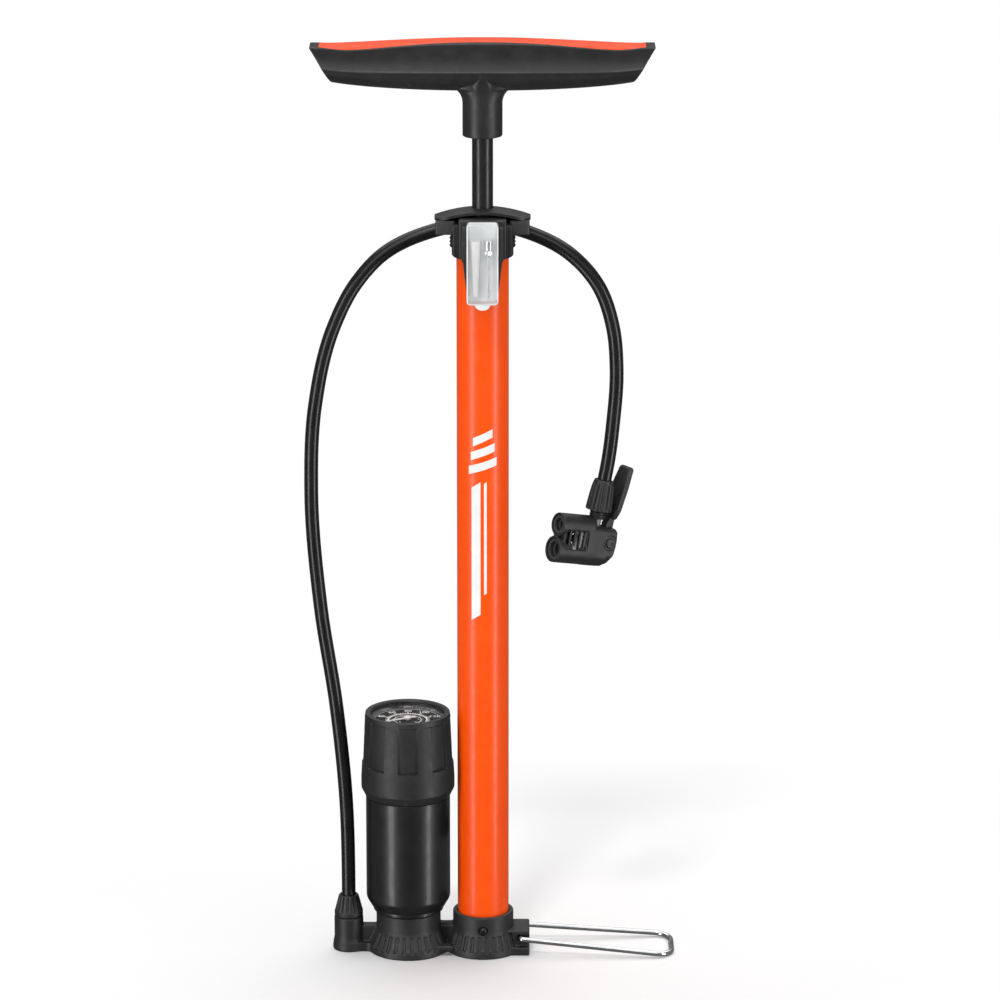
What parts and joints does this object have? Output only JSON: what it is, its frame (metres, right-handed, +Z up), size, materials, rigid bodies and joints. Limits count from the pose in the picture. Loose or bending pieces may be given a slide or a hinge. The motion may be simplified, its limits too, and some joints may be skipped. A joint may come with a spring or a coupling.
{
  "type": "floor bike pump",
  "caption": "Floor bicycle pump with an orange barrel, a wide handle, a side air tank with a gauge, a dual-head chuck on a free hose and a folding wire foot.",
  "frame": {"origin": "on the barrel's axis, in the base's flat underside", "axes": "+Z up along the barrel to the handle, +X from the tank to the wire foot, -Y is the front"},
  "size_m": [0.2448, 0.0692, 0.617],
  "materials": {
    "orange_enamel": "gloss enamel",
    "orange_grip": "satin",
    "black_plastic": "satin moulded",
    "black_enamel": "satin enamel",
    "black_steel": "gloss black",
    "black_rubber": "smooth hose rubber",
    "seal_rubber": "matt",
    "bright_zinc": "bright plated",
    "steel": "plain",
    "brass": "turned",
    "clear_plastic": "clear",
    "white_plastic": "satin",
    "dial": "matt black with light figures",
    "pointer": "matt paint"
  },
  "bodies": {
    "pump_body": {"base": "black_plastic", "barrel_seal": "seal_rubber", "valve_seat": "black_plastic", "barrel_screw_front": "black_steel", "barrel_screw_back": "black_steel", "valve_spring": "steel", "barrel": "orange_enamel", "tank": "black_enamel", "tank_seal": "seal_rubber", "gauge_cap": "black_plastic", "gauge_seal": "seal_rubber", "gauge_case": "steel", "gauge_socket": "brass", "gauge_nut": "brass", "bourdon_tube": "brass", "dial": "dial", "gauge_lens": "clear_plastic", "head_collar": "black_plastic", "guide_bush": "black_plastic", "stop_bumper": "seal_rubber", "head_screw": "black_steel", "head_cap": "black_plastic", "case_holder": "black_plastic", "gland_nut": "black_plastic", "hose_barb": "brass", "hose": "black_rubber", "chuck_body": "black_plastic", "upper_port_ring": "black_plastic", "lower_port_ring": "black_plastic", "upper_grommet": "seal_rubber", "lower_grommet": "seal_rubber", "chuck_stem": "steel", "chuck_nut": "black_plastic", "lever_pin": "steel"},
    "plunger": {"handle": "black_plastic", "grip_pad": "orange_grip", "handle_screw": "steel", "rod": "black_steel", "rod_top_plug": "steel", "rod_plug": "steel", "piston": "white_plastic", "piston_ring": "seal_rubber", "piston_washer": "steel", "piston_bolt": "steel"},
    "foot_wire": {"foot_wire": "bright_zinc"},
    "gauge_pointer": {"pointer": "pointer"},
    "accessory_case": {"clear_case": "clear_plastic", "ball_needle": "bright_zinc", "cone_nozzle": "white_plastic"},
    "chuck_lever": {"chuck_lever": "black_plastic"},
    "chuck_plunger": {"chuck_plunger": "white_plastic"},
    "check_valve": {"check_valve": "seal_rubber"}
  },
  "joints": [
    {"name": "plunger_slide", "type": "slide", "parent": "pump_body", "child": "plunger", "axis": [0, 0, 1], "range_m": [-0.045, 0.378]},
    {"name": "foot_fold", "type": "hinge", "parent": "pump_body", "child": "foot_wire", "pos_m": [0.025, 0, 0.011], "axis": [0, -1, 0], "range_deg": [0, 90]},
    {"name": "pointer_turn", "type": "hinge", "parent": "pump_body", "child": "gauge_pointer", "pos_m": [-0.05, 0, 0.155], "axis": [0, 0, -1], "range_deg": [0, 270], "stiffness_Nm_per_rad": 0.0001},
    {"name": "case_slide", "type": "slide", "parent": "pump_body", "child": "accessory_case", "axis": [0, 0, -1], "range_m": [0, 0.06]},
    {"name": "lever_turn", "type": "hinge", "parent": "pump_body", "child": "chuck_lever", "pos_m": [0.07863, 0.00431, 0.28269], "axis": [-0.5446, 0.8387, 0], "range_deg": [0, 90]},
    {"name": "press_slide", "type": "slide", "parent": "pump_body", "child": "chuck_plunger", "axis": [-0.8172, -0.5307, 0.225], "range_m": [0, 0.002]},
    {"name": "check_valve_slide", "type": "slide", "parent": "pump_body", "child": "check_valve", "axis": [0, 0, -1], "range_m": [0, 0.0015], "stiffness_N_per_m": 30, "deforming": ["valve_spring"]}
  ],
  "couplings": [
    {"joint": "press_slide", "follows": "lever_turn", "m_per_rad": 0.00127}
  ]
}
